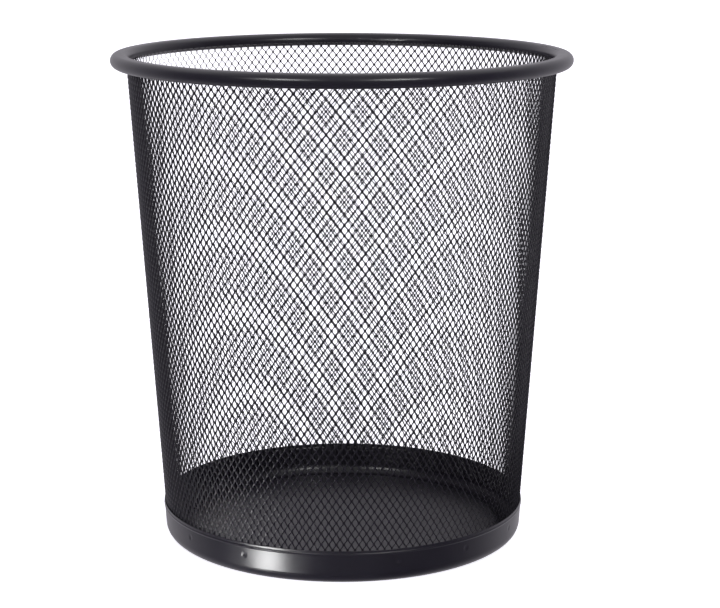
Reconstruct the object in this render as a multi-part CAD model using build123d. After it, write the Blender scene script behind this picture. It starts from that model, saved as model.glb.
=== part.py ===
from build123d import *
import math
import os

# Round office wastebasket in painted steel. Millimetres, +Z up.
# The origin is on the basket's axis, at the level of the surface that it stands on.

# Overall sizes
rim_diameter = 295.0  # over the rim tube
overall_height = 317.0
base_diameter = 237.8  # over the pan's band, at the band's top edge

# Rim: a strip rolled into a tube, whose two edges grip the top of the mesh
tube_height = 8.8
rim_sheet = 0.6
wall_inset = 10.1  # from the rim's outermost line in to the wall's outer face
lip_drop = 1.4  # how far the inner lip reaches below the tube's middle
leaf_angle = 55.0  # where the outer edge leaves the round tube, from straight down
rim_joint_angle = 90.0  # the tube's ends meet at the back
rim_joint_width = 1.6

# Wall: the envelope of the expanded mesh, over its twisted strands
wall_depth = 1.2
wall_rise = 0.5  # how far the mesh's top edge reaches above the tube's middle
slot_gap = 0.1  # between the mesh and each edge of the rim strip

# Pan: floor, foot ring, corner and band, pressed from one sheet
pan_sheet = 0.6
band_height = 22.3
corner_radius = 7.3  # outside, where the foot ring turns up into the band
foot_flat = 3.6  # flat width of the foot ring
floor_lift = 3.0  # underside of the floor above the foot
step_run = 4.0  # horizontal run of the step from foot to floor
step_radius = 1.6
bead_drop = 2.3  # centre of the stiffening bead below the band's top edge
bead_height = 0.35
bead_width = 1.6
pan_gap = 0.15  # between the mesh and the inside of the band
mesh_foot_gap = 0.5  # mesh's lower edge above the start of the inside corner

# Spot welds
band_weld_count = 15
band_weld_radius = 1.6
band_weld_level = 0.6  # share of the band's height
band_weld_start = -121.2  # degrees, counted from +X
dimple_radius = 2.2
dimple_depth = 0.18
seam_weld_count = 14
seam_weld_radius = 1.2
seam_weld_height = 0.15
seam_angle = 172.0  # the lap of the mesh sheet, at one side
seam_margin = 14.0  # from each end of the seam to its first weld

rim_radius = rim_diameter / 2
tube_radius = tube_height / 2
strip_radius = tube_radius - rim_sheet / 2
tube_centre_r = rim_radius - tube_radius
tube_centre_z = overall_height - tube_radius

wall_top = tube_centre_z + wall_rise
wall_foot = corner_radius + mesh_foot_gap
wall_outer_top = rim_radius - wall_inset
wall_outer_band = base_diameter / 2 - pan_sheet - pan_gap
taper = (wall_outer_top - wall_outer_band) / (tube_centre_z - band_height)
lean = math.atan(taper)


def wall_outer(z):
    """Outer radius of the mesh envelope at a height."""
    return wall_outer_band + taper * (z - band_height)


def wall_inner(z):
    return wall_outer(z) - wall_depth


def band_outer(z):
    """Outer radius of the pan's band, which leans with the wall."""
    return base_diameter / 2 + taper * (z - band_height)


def band_inner(z):
    """Inner radius of the band: half the sheet to its middle, and half across the leaning wall."""
    half = pan_sheet / 2
    return band_outer(z) - half - half / math.cos(lean)


def at(r, z):
    """A point of a profile, in the XZ plane."""
    return (r, 0.0, z)


def strip(path, sheet):
    """Closed face of a sheet of even thickness along a path."""
    edge = path.wire()
    outline = edge.offset_2d(sheet / 2, kind=Kind.ARC, side=Side.BOTH)
    return Face(outline)


def revolved(profile):
    return revolve(profile, axis=Axis.Z, revolution_arc=360)


def rim_profile():
    """Lip, crown, outer half of the tube and the leaf that returns to the mesh."""
    lip_z = tube_centre_z - lip_drop
    lip_r = wall_inner(lip_z) - slot_gap - rim_sheet / 2
    crown_r = lip_r + strip_radius
    crown_z = tube_centre_z + strip_radius
    turn = math.radians(270 - leaf_angle)
    leave_r = tube_centre_r + strip_radius * math.cos(turn)
    leave_z = tube_centre_z + strip_radius * math.sin(turn)
    leaf_r = wall_outer(tube_centre_z) + slot_gap + rim_sheet / 2
    leaf_z = leave_z + (leave_r - leaf_r) / math.tan(math.radians(leaf_angle))
    lip = Line(at(lip_r, lip_z), at(lip_r, tube_centre_z))
    inner_arc = ThreePointArc(
        at(lip_r, tube_centre_z),
        at(crown_r - strip_radius * math.sqrt(0.5), tube_centre_z + strip_radius * math.sqrt(0.5)),
        at(crown_r, crown_z),
    )
    crown = Line(at(crown_r, crown_z), at(tube_centre_r, crown_z))
    middle = math.radians((90 - (90 + leaf_angle)) / 2)
    outer_arc = ThreePointArc(
        at(tube_centre_r, crown_z),
        at(tube_centre_r + strip_radius * math.cos(middle), tube_centre_z + strip_radius * math.sin(middle)),
        at(leave_r, leave_z),
    )
    leaf = Line(at(leave_r, leave_z), at(leaf_r, leaf_z))
    return strip(Wire([lip, inner_arc, crown, outer_arc, leaf]), rim_sheet)


def rim_joint_cut():
    """A thin radial slice where the rolled tube's two ends face each other."""
    reach = rim_diameter
    slab = Box(reach, rim_joint_width, reach, align=(Align.MIN, Align.CENTER, Align.CENTER))
    return Pos(0, 0, overall_height) * Rot(0, 0, rim_joint_angle) * slab


def rim_tube():
    return revolved(rim_profile()) - rim_joint_cut()


def rim_joint_weld():
    """Filler that closes the joint, ground flush with the strip."""
    return revolved(rim_profile()) & rim_joint_cut()


def mesh_wall():
    outline = Polyline(
        at(wall_outer(wall_foot), wall_foot),
        at(wall_outer(wall_top), wall_top),
        at(wall_inner(wall_top), wall_top),
        at(wall_inner(wall_foot), wall_foot),
        close=True,
    )
    return revolved(make_face(outline))


def pan_path():
    """Middle of the pan's sheet, from its centre out to the band's top edge."""
    half = pan_sheet / 2
    foot_outer = band_outer(corner_radius) - corner_radius
    foot_inner = foot_outer - foot_flat
    floor_edge = foot_inner - step_run
    floor_z = floor_lift + half
    top = band_height - half
    bead_z = band_height - bead_drop
    side = bead_width / 2
    points = [
        at(0, floor_z),
        at(floor_edge, floor_z),
        at(foot_inner, half),
        at(band_outer(half) - half, half),
        at(band_outer(bead_z - side) - half, bead_z - side),
        at(band_outer(bead_z) - half + bead_height, bead_z),
        at(band_outer(bead_z + side) - half, bead_z + side),
        at(band_outer(top) - half, top),
    ]
    radii = [step_radius, step_radius, corner_radius - half, bead_height * 2, bead_height, bead_height * 2]
    return FilletPolyline(*points, radius=radii)


def pan_profile():
    """The sheet about its path, cut square at the axis and rounded at the top edge."""
    face = strip(pan_path(), pan_sheet)
    reach = base_diameter
    half_plane = Pos(reach / 2, 0, 0) * Rot(90, 0, 0) * Rectangle(reach, reach)
    return face & half_plane


def band_weld_angles():
    return [band_weld_start + 360 / band_weld_count * i for i in range(band_weld_count)]


def radial(angle, r, z):
    """Frame whose +Z points outward from the axis at an angle, radius and height."""
    return Rot(0, 0, angle) * Pos(r, 0, z) * Rot(0, 90, 0)


def base_pan():
    """The pressed pan, with the shallow marks that the weld electrodes leave."""
    pan = revolved(pan_profile())
    z = band_height * band_weld_level
    ball = (dimple_radius**2 + dimple_depth**2) / (2 * dimple_depth)
    for angle in band_weld_angles():
        pan -= radial(angle, band_outer(z) + ball - dimple_depth, z) * Sphere(ball)
    return pan


def gap_ring():
    """The thin space between the mesh and the band, where the nuggets sit."""
    high = band_height - bead_drop - bead_width
    outline = Polyline(
        at(wall_outer(wall_foot), wall_foot),
        at(band_inner(wall_foot), wall_foot),
        at(band_inner(high), high),
        at(wall_outer(high), high),
        close=True,
    )
    return revolved(make_face(outline))


def base_welds():
    """Weld nuggets between the mesh and the band."""
    ring = gap_ring()
    z = band_height * band_weld_level
    nuggets = []
    for angle in band_weld_angles():
        core = radial(angle, wall_outer(z), z) * Cylinder(band_weld_radius, pan_sheet * 4)
        nuggets += (ring & core).solids()
    return nuggets


def seam_welds():
    """Flattened spot welds down the lap of the mesh sheet, on its inner side."""
    low = band_height + seam_margin
    high = tube_centre_z - lip_drop - seam_margin
    nuggets = []
    for i in range(seam_weld_count):
        z = low + (high - low) * i / (seam_weld_count - 1)
        under = z - seam_weld_radius * 2
        over = z + seam_weld_radius * 2
        skin = Polyline(
            at(wall_inner(under) - seam_weld_height, under),
            at(wall_inner(under), under),
            at(wall_inner(over), over),
            at(wall_inner(over) - seam_weld_height, over),
            close=True,
        )
        core = radial(seam_angle, wall_inner(z), z) * Cylinder(seam_weld_radius, seam_weld_height * 4)
        nuggets += (revolved(make_face(skin)) & core).solids()
    return nuggets


def save(node, shape):
    solids = shape if isinstance(shape, list) else shape.solids()
    whole = solids[0] if len(solids) == 1 else Compound(children=list(solids))
    whole.label = node
    export_step(whole, f"parts/{node}.step")
    print(node, len(solids), "solids", round(sum(s.volume for s in solids), 1), "mm3")


os.makedirs("parts", exist_ok=True)
save("rim_tube", rim_tube())
save("rim_joint_weld", rim_joint_weld())
save("mesh_wall", mesh_wall())
save("wall_seam_welds", seam_welds())
save("base_pan", base_pan())
save("base_welds", base_welds())
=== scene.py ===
import math

import bpy
import numpy as np
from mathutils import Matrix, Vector


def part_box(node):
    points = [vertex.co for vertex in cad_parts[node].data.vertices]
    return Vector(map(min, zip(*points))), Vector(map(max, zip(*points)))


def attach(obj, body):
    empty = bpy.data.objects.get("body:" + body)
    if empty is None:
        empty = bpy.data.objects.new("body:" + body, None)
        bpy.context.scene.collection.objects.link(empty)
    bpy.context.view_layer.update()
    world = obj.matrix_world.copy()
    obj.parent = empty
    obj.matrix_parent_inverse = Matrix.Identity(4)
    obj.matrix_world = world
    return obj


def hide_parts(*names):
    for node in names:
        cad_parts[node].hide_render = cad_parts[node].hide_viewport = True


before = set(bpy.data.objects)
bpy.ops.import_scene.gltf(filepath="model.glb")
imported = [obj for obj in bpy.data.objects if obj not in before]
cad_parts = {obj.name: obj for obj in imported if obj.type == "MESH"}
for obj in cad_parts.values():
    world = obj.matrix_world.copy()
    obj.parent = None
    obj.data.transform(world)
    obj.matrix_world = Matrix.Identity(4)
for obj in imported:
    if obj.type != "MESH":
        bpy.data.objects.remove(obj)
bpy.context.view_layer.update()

mm = 0.001  # in metres
scene = bpy.context.scene
scene.view_settings.view_transform = "Standard"
print("frame loaded")


def paint(hexColour):  # sRGB hex to the linear colour that a shader takes
    parts = [int(hexColour[i:i + 2], 16) / 255 for i in (1, 3, 5)]
    return [c / 12.92 if c <= 0.04045 else ((c + 0.055) / 1.055) ** 2.4 for c in parts] + [1.0]


def addNode(tree, kind, settings=None, values=None, links=None):
    node = tree.nodes.new(kind)
    for name, value in (settings or {}).items():
        setattr(node, name, value)
    for name, value in (values or {}).items():
        node.inputs[name].default_value = value
    for name, source in (links or {}).items():
        tree.links.new(source, node.inputs[name])
    return node


def newMaterial(name):
    material = bpy.data.materials.new(name)
    material.use_nodes = True
    material.node_tree.nodes.clear()
    return material, material.node_tree


powderCoat = {
    "darkest": "#121017",  # near black, with a faint violet cast
    "lightest": "#19171f",
    "cloudSize": 30 * mm,  # slow change of film thickness from the spray passes
    "peelSize": 1.6 * mm,  # orange peel, real 0.8 mm, drawn twice as coarse so that it shows
    "peelDepth": 0.05 * mm,
}
rimFinish = {"roughness": 0.30, "spread": 0.02, "peel": 0.25}  # peel: how strong the ripple is
meshFinish = {"roughness": 0.36, "spread": 0.03, "peel": 0.0}
panFinish = {"roughness": 0.31, "spread": 0.03, "peel": 0.35}


def powderCoatMaterial(name, roughness, spread, peel):
    # Polyester powder, sprayed and baked on steel: near black, even, and rippled by orange peel
    material, tree = newMaterial(name)
    place = addNode(tree, "ShaderNodeTexCoord")
    cloud = addNode(tree, "ShaderNodeTexNoise",
                    values={"Scale": 1 / powderCoat["cloudSize"], "Detail": 3.0, "Roughness": 0.6},
                    links={"Vector": place.outputs["Object"]})
    colour = addNode(tree, "ShaderNodeMix", settings={"data_type": "RGBA"},
                     links={"Factor": cloud.outputs["Fac"]})
    colour.inputs[6].default_value = paint(powderCoat["darkest"])  # the mix's two colours
    colour.inputs[7].default_value = paint(powderCoat["lightest"])
    gloss = addNode(tree, "ShaderNodeMapRange",  # nearly all of the noise is between 0.3 and 0.7
                    values={"From Min": 0.3, "From Max": 0.7,
                            "To Min": roughness - spread, "To Max": roughness + spread},
                    links={"Value": cloud.outputs["Fac"]})
    shader = addNode(tree, "ShaderNodeBsdfPrincipled",
                     values={"Metallic": 0.0, "IOR": 1.5},
                     links={"Base Color": colour.outputs[2], "Roughness": gloss.outputs["Result"]})
    if peel:
        grain = addNode(tree, "ShaderNodeTexNoise",
                        values={"Scale": 1 / powderCoat["peelSize"], "Detail": 2.0, "Roughness": 0.5},
                        links={"Vector": place.outputs["Object"]})
        ripple = addNode(tree, "ShaderNodeBump",
                         values={"Strength": peel, "Distance": powderCoat["peelDepth"]},
                         links={"Height": grain.outputs["Fac"]})
        tree.links.new(ripple.outputs["Normal"], shader.inputs["Normal"])
    addNode(tree, "ShaderNodeOutputMaterial", links={"Surface": shader.outputs["BSDF"]})
    return material


# Semi-gloss on the smooth tube gives long, clean highlights; the pan's stronger peel breaks up its band's
# reflection; on thin strands the film is too narrow to show peel, and gives only soft satin glints
rimCoat = powderCoatMaterial("semiGlossPowderCoatOnRolledSteel", **rimFinish)
meshCoat = powderCoatMaterial("satinPowderCoatOnExpandedSteel", **meshFinish)
panCoat = powderCoatMaterial("semiGlossPowderCoatOnPressedSteel", **panFinish)


def coat(node, material):
    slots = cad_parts[node].data.materials
    slots.clear()
    slots.append(material)


coat("rim_tube", rimCoat)
coat("rim_joint_weld", rimCoat)
coat("base_pan", panCoat)
coat("base_welds", meshCoat)
coat("wall_seam_welds", meshCoat)
print("powder coats made")


expandedMesh = {
    "diamondsRound": 160,
    "strandLength": 4.2484 * mm,  # knot to knot, the same at every height
    "strandWidth": 0.95 * mm,  # a knot is two strands wide
    "thickness": 0.27 * mm,
    "knotHeight": 1.25 * mm,
    "slant": math.radians(34),  # how far the knots are turned about the vertical
    "helixDrop": 0.75 * mm,  # how far the rows come down for each radian round
    "firstTurn": 0.02653,  # of the first column from the front, in radians
    "firstHeight": 271.13 * mm,  # of the first row, at the front
    "twist": 0.02,  # radians to a metre of height
    "shortestStub": 0.02,  # share of a strand, under which a trimmed one is dropped
    "lapDiamonds": 2,  # past the seam, at each end of the sheet
    "lapStep": 0.9 * mm,  # how far in the inner ply of the lap lies
    "lapRun": 3,  # diamonds that it takes to step in
    "quarters": 4,  # pieces, only to keep each one small
}


def wallCone():
    # The CAD wall gives the cone that the mesh follows: its two ends, and the middle of its thickness there
    low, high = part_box("mesh_wall")
    corners = np.array([v.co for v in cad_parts["mesh_wall"].data.vertices])
    radius = np.hypot(corners[:, 0], corners[:, 1])
    slack = 0.1 * mm
    atFoot = radius[corners[:, 2] < low.z + slack]
    atTop = radius[corners[:, 2] > high.z - slack]
    return low.z, high.z, (atFoot.min() + atFoot.max()) / 2, (atTop.min() + atTop.max()) / 2


def seamTurn():
    # The lap is where the CAD's seam welds are; turned from the front, towards +X
    corners = np.array([v.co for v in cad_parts["wall_seam_welds"].data.vertices])
    centre = corners.mean(axis=0)
    turn = math.atan2(centre[0], -centre[1])
    return turn if turn < 0 else turn - 2 * math.pi


def rowHeights(foot, top, footRadius, slope):
    # Rows are stepped so that every strand keeps its length as the cone narrows
    length = expandedMesh["strandLength"]
    toMiddle = 0.4 * length  # about half a step, where the cone's width is read
    spare = 2 * math.pi * expandedMesh["helixDrop"] + length  # the helix brings rows in from past both ends

    def step(z):
        half = math.pi * (footRadius + slope * (z - foot)) / expandedMesh["diamondsRound"]
        return math.sqrt(length ** 2 - half ** 2)

    def walk(way, last):
        z = expandedMesh["firstHeight"]
        heights = []
        while (last - z) * way > 0:
            z += way * step(z + way * toMiddle)
            heights.append(z)
        return heights

    below = walk(-1, foot - spare)
    above = walk(1, top + spare)
    numbers = np.arange(-len(below), len(above) + 1)
    return numbers, np.array(below[::-1] + [expandedMesh["firstHeight"]] + above)


def knotCorners(turn, z, radius, slope):
    # 12 corners a knot: 3 across, at its foot and head, on its back and front
    flat = np.zeros_like(turn)
    outward = np.stack([np.sin(turn), -np.cos(turn), flat], -1)
    along = np.stack([np.cos(turn), np.sin(turn), flat], -1)
    up = outward * slope + np.array([0, 0, 1.0])
    up = up / np.linalg.norm(up, axis=-1, keepdims=True)
    centre = outward * radius[..., None]
    centre[..., 2] = z
    slant = expandedMesh["slant"]
    across = math.cos(slant) * along - math.sin(slant) * outward
    face = math.cos(slant) * outward + math.sin(slant) * along
    corners = np.zeros(z.shape + (3, 2, 2, 3))
    for i, j, s in np.ndindex(3, 2, 2):
        corners[..., i, j, s, :] = (centre + across * (i - 1) * expandedMesh["strandWidth"]
                                    + up * (j - 0.5) * expandedMesh["knotHeight"]
                                    + face * (s - 0.5) * expandedMesh["thickness"])
    return corners


def knotSides(k):
    # Front and back in two halves, then the two free sides; the strands close the foot and head
    sides = []
    for i in range(2):
        sides.append((k[:, i, 0, 1], k[:, i + 1, 0, 1], k[:, i + 1, 1, 1], k[:, i, 1, 1]))
        sides.append((k[:, i, 0, 0], k[:, i, 1, 0], k[:, i + 1, 1, 0], k[:, i + 1, 0, 0]))
    sides.append((k[:, 0, 0, 0], k[:, 0, 0, 1], k[:, 0, 1, 1], k[:, 0, 1, 0]))
    sides.append((k[:, 2, 0, 1], k[:, 2, 0, 0], k[:, 2, 1, 0], k[:, 2, 1, 1]))
    return sides


def strandSides(a, b):  # a is a strand's lower end, b its upper end
    return [(a[:, 0, 1], a[:, 1, 1], b[:, 1, 1], b[:, 0, 1]),
            (a[:, 1, 0], a[:, 0, 0], b[:, 0, 0], b[:, 1, 0]),
            (a[:, 0, 0], a[:, 0, 1], b[:, 0, 1], b[:, 0, 0]),
            (a[:, 1, 1], a[:, 1, 0], b[:, 1, 0], b[:, 1, 1])]


def strandCaps(a, b):
    return [(a[:, 0, 0], a[:, 1, 0], a[:, 1, 1], a[:, 0, 1]),
            (b[:, 0, 1], b[:, 1, 1], b[:, 1, 0], b[:, 0, 0])]


def meshPieces():
    foot, top, footRadius, topRadius = wallCone()
    slope = (topRadius - footRadius) / (top - foot)
    rows, rowZ = rowHeights(foot, top, footRadius, slope)
    pitch = 2 * math.pi / expandedMesh["diamondsRound"]
    lap = expandedMesh["lapDiamonds"]
    seam = seamTurn()
    firstColumn = math.ceil((seam - expandedMesh["firstTurn"]) / pitch) - lap
    columns = np.arange(firstColumn, firstColumn + expandedMesh["diamondsRound"] + 2 * lap + 1)
    oddShift = (rows % 2)[:, None] * 0.5
    turn = (columns[None, :] + oddShift) * pitch + expandedMesh["firstTurn"]
    z = rowZ[:, None] - expandedMesh["helixDrop"] * turn
    turn = turn + expandedMesh["twist"] * (z - (foot + top) / 2)
    radius = footRadius + slope * (z - foot)
    fromLap = (turn - (seam + 2 * math.pi - lap * pitch)) / (expandedMesh["lapRun"] * pitch)
    radius = radius - expandedMesh["lapStep"] * np.clip(fromLap + 1, 0, 1) ** 2  # the inner ply
    corners = knotCorners(turn, z, radius, slope)
    points = corners.reshape(-1, 3)
    index = np.arange(len(points)).reshape(corners.shape[:-1])
    columnOf = np.broadcast_to(np.arange(len(columns))[None, :], z.shape)
    quads, owners, trimmed = [], [], []

    def add(sides, owner):
        for side in sides:
            quads.append(np.stack(side, -1))
            owners.append(owner)

    margin = expandedMesh["knotHeight"] / 2
    whole = (z > foot + margin) & (z < top - margin)
    add(knotSides(index[whole]), columnOf[whole])
    count = len(points)
    for side, parity in np.ndindex(2, 2):  # strands that rise to the left, then to the right
        shift = side - 1 + parity
        lowRow, lowColumn = np.meshgrid(np.nonzero(rows[:-1] % 2 == parity)[0],
                                        np.arange(max(0, -shift), len(columns) - max(0, shift)),
                                        indexing="ij")
        low, high = (lowRow, lowColumn), (lowRow + 1, lowColumn + shift)
        zLow, zHigh = z[low] + margin, z[high] - margin
        start = np.clip((foot - zLow) / (zHigh - zLow), 0, 1)
        end = np.clip((top - zLow) / (zHigh - zLow), 0, 1)
        keep = end > start + expandedMesh["shortestStub"]
        near = index[low][:, :, side:side + 2, 1, :][keep]  # head of the lower knot
        far = index[high][:, :, 1 - side:3 - side, 0, :][keep]  # foot of the upper knot
        start, end, owner = start[keep], end[keep], columnOf[low][keep]
        cut = (start > 0) | (end < 1)
        add(strandSides(near[~cut], far[~cut]), owner[~cut])
        # A strand that crosses an edge of the sheet is trimmed there, and closed at both ends
        a, b = points[near[cut]], points[far[cut]]
        ends = np.stack([a + (b - a) * share[cut][:, None, None, None] for share in (start, end)])
        trimmed.append(ends.reshape(-1, 3))
        newNear, newFar = count + np.arange(ends[..., 0].size).reshape(ends.shape[:-1])
        count += ends[..., 0].size
        add(strandCaps(newNear, newFar), owner[cut])
        add(strandSides(newNear, newFar), owner[cut])
    points = np.concatenate([points] + trimmed)
    quads, owners = np.concatenate(quads), np.concatenate(owners)
    spans = np.array_split(np.arange(len(columns)), expandedMesh["quarters"])
    return [(points, quads[(owners >= s[0]) & (owners <= s[-1])]) for s in spans]


def buildQuarter(number, points, quads):
    used, faces = np.unique(quads, return_inverse=True)
    faces = faces.reshape(-1, 4)
    mesh = bpy.data.meshes.new(f"expandedMesh{number}")
    mesh.vertices.add(len(used))
    mesh.vertices.foreach_set("co", points[used].astype(np.float32).ravel())
    mesh.loops.add(faces.size)
    mesh.loops.foreach_set("vertex_index", faces.astype(np.int32).ravel())
    mesh.polygons.add(len(faces))
    mesh.polygons.foreach_set("loop_start", np.arange(len(faces), dtype=np.int32) * 4)
    mesh.update(calc_edges=True)
    mesh.validate()
    piece = bpy.data.objects.new(f"expandedMesh{number}", mesh)
    scene.collection.objects.link(piece)
    mesh.materials.append(meshCoat)
    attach(piece, "root")
    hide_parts("mesh_wall")
    return piece


for number, (points, quads) in enumerate(meshPieces()):
    piece = buildQuarter(number, points, quads)
    print("mesh quarter", number, len(piece.data.polygons), "faces")


paperSweep = {
    "colour": "#f5f4fa",
    "glow": 0.8,
    "reach": 14.0,  # metres
    "flatShare": 0.6,  # of the reach, before the sweep starts
    "rise": 5.0,
    "steps": 12,  # rings in the sweep
    "sides": 72,
}


def makeFloor():
    # A round paper floor that sweeps up far away, so that every view has a pale ground
    reach, rise, steps, sides = (paperSweep[key] for key in ("reach", "rise", "steps", "sides"))
    rings = [(reach * 0.5, 0.0)]  # halfway out, so that the flat part is shaded flat
    for i in range(steps + 1):
        a = math.pi / 2 * i / steps
        rings.append((reach * paperSweep["flatShare"] + rise * math.sin(a), rise * (1 - math.cos(a))))
    points = [(0, 0, 0)]
    for r, h in rings:
        for j in range(sides):
            t = 2 * math.pi * j / sides
            points.append((r * math.cos(t), r * math.sin(t), h))
    faces = [(0, 1 + j, 1 + (j + 1) % sides) for j in range(sides)]
    for i in range(len(rings) - 1):
        for j in range(sides):
            a = 1 + i * sides + j
            b = 1 + i * sides + (j + 1) % sides
            faces.append((a, a + sides, b + sides, b))
    mesh = bpy.data.meshes.new("paleFloor")
    mesh.from_pydata(points, [], faces)
    for polygon in mesh.polygons:
        polygon.use_smooth = True
    floor = bpy.data.objects.new("paleFloor", mesh)
    scene.collection.objects.link(floor)
    # Uncoated paper, lit from behind: matt, and so bright that it has no visible grain
    material, tree = newMaterial("glowingPaperSweep")
    colour = paint(paperSweep["colour"])
    shader = addNode(tree, "ShaderNodeBsdfPrincipled",
                     values={"Base Color": colour, "Roughness": 1.0, "Specular IOR Level": 0.0,
                             "Emission Color": colour, "Emission Strength": paperSweep["glow"]})
    addNode(tree, "ShaderNodeOutputMaterial", links={"Surface": shader.outputs["BSDF"]})
    mesh.materials.append(material)
    floor.visible_glossy = False
    floor.visible_shadow = False


room = {
    "colour": "#faf6ff",
    "front": 0.04,  # brightness on the camera's side
    "back": 0.68,  # and behind the basket
    "dimUntil": -0.35,  # -1 is straight towards the front, 1 straight to the back
    "brightFrom": 0.6,
}


def makeRoom():
    # A room that is dim on the camera's side and bright behind the basket
    world = bpy.data.worlds.new("softRoom")
    world.use_nodes = True
    tree = world.node_tree
    place = addNode(tree, "ShaderNodeTexCoord")
    split = addNode(tree, "ShaderNodeSeparateXYZ", links={"Vector": place.outputs["Generated"]})
    depth = addNode(tree, "ShaderNodeMapRange", settings={"interpolation_type": "SMOOTHSTEP"},
                    values={"From Min": room["dimUntil"], "From Max": room["brightFrom"],
                            "To Min": room["front"], "To Max": room["back"]},
                    links={"Value": split.outputs["Y"]})
    background = tree.nodes["Background"]
    background.inputs["Color"].default_value = paint(room["colour"])
    tree.links.new(depth.outputs["Result"], background.inputs["Strength"])
    scene.world = world


ceiling = {"strength": 0.8, "angle": 100}  # degrees across, as seen from the floor


def makeCeiling():
    # A broad even light from straight above, as from a white ceiling
    light = bpy.data.lights.new("ceiling", "SUN")
    light.energy = ceiling["strength"]
    light.angle = math.radians(ceiling["angle"])
    lamp = bpy.data.objects.new("ceiling", light)
    scene.collection.objects.link(lamp)


softboxes = {  # turn is in degrees from the front, towards +X; spread is the beam's width in degrees
    "frontLeftBox": {"turn": -29, "distance": 2.0, "height": 1.15, "target": (0, -0.14, 0.31),
                     "width": 0.6, "depth": 0.4, "power": 14, "spread": 180},
    "frontRightBox": {"turn": 27, "distance": 2.0, "height": 1.15, "target": (0, -0.14, 0.31),
                      "width": 0.6, "depth": 0.4, "power": 14, "spread": 180},
    # Under the floor, which casts no shadow, for the low reflection in the pan's band
    "lowLeftBox": {"turn": -42, "distance": 0.42, "height": -0.13, "target": (-0.04, -0.11, 0.01),
                   "width": 0.12, "depth": 0.1, "power": 0.034, "spread": 26},
}


def makeSoftbox(name, box):
    light = bpy.data.lights.new(name, "AREA")
    light.shape = "ELLIPSE"
    light.size = box["width"]
    light.size_y = box["depth"]
    light.energy = box["power"]
    light.spread = math.radians(box["spread"])
    turn = math.radians(box["turn"])
    place = Vector((box["distance"] * math.sin(turn), -box["distance"] * math.cos(turn), box["height"]))
    lamp = bpy.data.objects.new(name, light)
    lamp.location = place
    lamp.rotation_euler = (Vector(box["target"]) - place).to_track_quat("-Z", "Y").to_euler()
    scene.collection.objects.link(lamp)


makeFloor()
makeRoom()
makeCeiling()
for name, box in softboxes.items():
    makeSoftbox(name, box)
print("studio made")


camera = {
    "distance": 1.30393,
    "height": 0.43471,
    "pitch": 12.25,  # degrees down
    "yaw": 0.504,  # degrees to the right
    "lens": 101.65,
    "sensor": 36,
}


def makeCamera():
    data = bpy.data.cameras.new("camera")
    data.lens = camera["lens"]
    data.sensor_width = camera["sensor"]
    eye = bpy.data.objects.new("camera", data)
    eye.location = (0, -camera["distance"], camera["height"])
    eye.rotation_euler = (math.radians(90 - camera["pitch"]), 0, -math.radians(camera["yaw"]))
    scene.collection.objects.link(eye)
    scene.camera = eye


makeCamera()
print("camera made")
